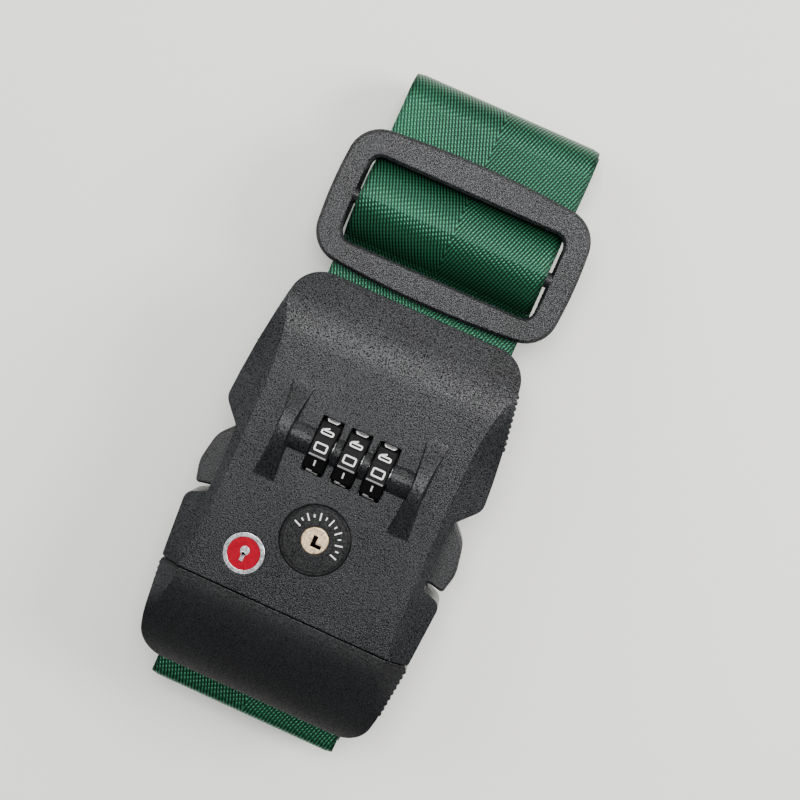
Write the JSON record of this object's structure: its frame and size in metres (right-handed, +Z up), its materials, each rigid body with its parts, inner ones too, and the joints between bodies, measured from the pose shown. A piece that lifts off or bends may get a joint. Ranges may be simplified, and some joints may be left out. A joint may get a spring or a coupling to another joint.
{
  "type": "luggage strap",
  "caption": "Webbing luggage strap wound flat, with an adjusting slider and a side-release buckle that holds a combination lock and a key cylinder.",
  "frame": {"origin": "centre of the lowest face that the wound strap lies on", "axes": "+X across the strap, +Y along the strap from the plug to the slider, +Z up out of the buckle's front"},
  "size_m": [0.0692, 0.166, 0.0374],
  "materials": {
    "housing_plastic": "fine grained charcoal",
    "plug_plastic": "fine grained charcoal",
    "slider_plastic": "fine grained charcoal",
    "dial_plastic": "glossy black",
    "webbing": "satin twill",
    "steel": "satin",
    "spring_steel": "bright",
    "key_brass": "satin champagne",
    "key_plate": "satin",
    "badge_rim": "polished",
    "badge_red": "gloss",
    "arm_plastic": "smooth"
  },
  "bodies": {
    "housing": {"upper_housing": "housing_plastic", "lower_housing": "housing_plastic", "housing_screws": "steel", "housing_strap_bar": "steel", "key_disc": "key_plate", "key_barrel": "key_brass", "badge_ring": "badge_rim", "badge_disc": "badge_red", "detent_spring": "spring_steel", "lock_cover": "steel", "lock_spring": "spring_steel", "spindle_spring": "spring_steel", "strap_front": "webbing", "strap_roll": "webbing"},
    "wheel_1": {"dial_1": "dial_plastic", "code_sleeve_1": "steel"},
    "wheel_2": {"dial_2": "dial_plastic", "code_sleeve_2": "steel"},
    "wheel_3": {"dial_3": "dial_plastic", "code_sleeve_3": "steel"},
    "spindle": {"dial_spindle": "steel", "spindle_clip": "steel"},
    "key": {"key_core": "key_brass", "key_cam": "key_brass", "key_clip": "spring_steel"},
    "plate": {"lock_plate": "steel"},
    "plug": {"plug_body": "plug_plastic", "plug_tongue": "plug_plastic", "plug_strap_bar": "steel", "strap_plug_loop": "webbing"},
    "left_arm": {"arm_left": "arm_plastic"},
    "right_arm": {"arm_right": "arm_plastic"},
    "slider": {"slider_frame": "slider_plastic", "strap_sewn_end": "webbing", "strap_over_bar": "webbing"}
  },
  "joints": [
    {"name": "dial_1_turn", "type": "hinge", "parent": "housing", "child": "wheel_1", "pos_m": [-0.0075, -0.0112, 0.03044], "axis": [1, 0, 0], "continuous": true},
    {"name": "dial_2_turn", "type": "hinge", "parent": "housing", "child": "wheel_2", "pos_m": [0, -0.0112, 0.03044], "axis": [1, 0, 0], "continuous": true},
    {"name": "dial_3_turn", "type": "hinge", "parent": "housing", "child": "wheel_3", "pos_m": [0.0075, -0.0112, 0.03044], "axis": [1, 0, 0], "continuous": true},
    {"name": "reset_push", "type": "slide", "parent": "housing", "child": "spindle", "axis": [1, 0, 0], "range_m": [0, 0.0015], "stiffness_N_per_m": 400, "deforming": ["spindle_spring"]},
    {"name": "key_turn", "type": "hinge", "parent": "housing", "child": "key", "pos_m": [0, -0.0327, 0.0331], "axis": [0, 0, 1], "range_deg": [0, 90]},
    {"name": "lock_plate_slide", "type": "slide", "parent": "housing", "child": "plate", "axis": [0, -1, 0], "range_m": [0, 0.003], "deforming": ["lock_spring"]},
    {"name": "plug_slide", "type": "slide", "parent": "housing", "child": "plug", "axis": [0, -1, 0], "range_m": [0, 0.045], "deforming": ["arm_left", "arm_right"]},
    {"name": "arm_left_press", "type": "hinge", "parent": "plug", "child": "left_arm", "pos_m": [-0.023, -0.0546, 0.0201], "axis": [0, 0, -1], "range_deg": [0, 9], "stiffness_Nm_per_rad": 0.4},
    {"name": "arm_right_press", "type": "hinge", "parent": "plug", "child": "right_arm", "pos_m": [0.023, -0.0546, 0.0201], "axis": [0, 0, 1], "range_deg": [0, 9], "stiffness_Nm_per_rad": 0.4},
    {"name": "slider_adjust", "type": "slide", "parent": "housing", "child": "slider", "axis": [0, 1, 0], "range_m": [0, 0.008]}
  ],
  "couplings": [
    {"joint": "key_turn", "follows": "lock_plate_slide", "rad_per_m": 523.6}
  ]
}
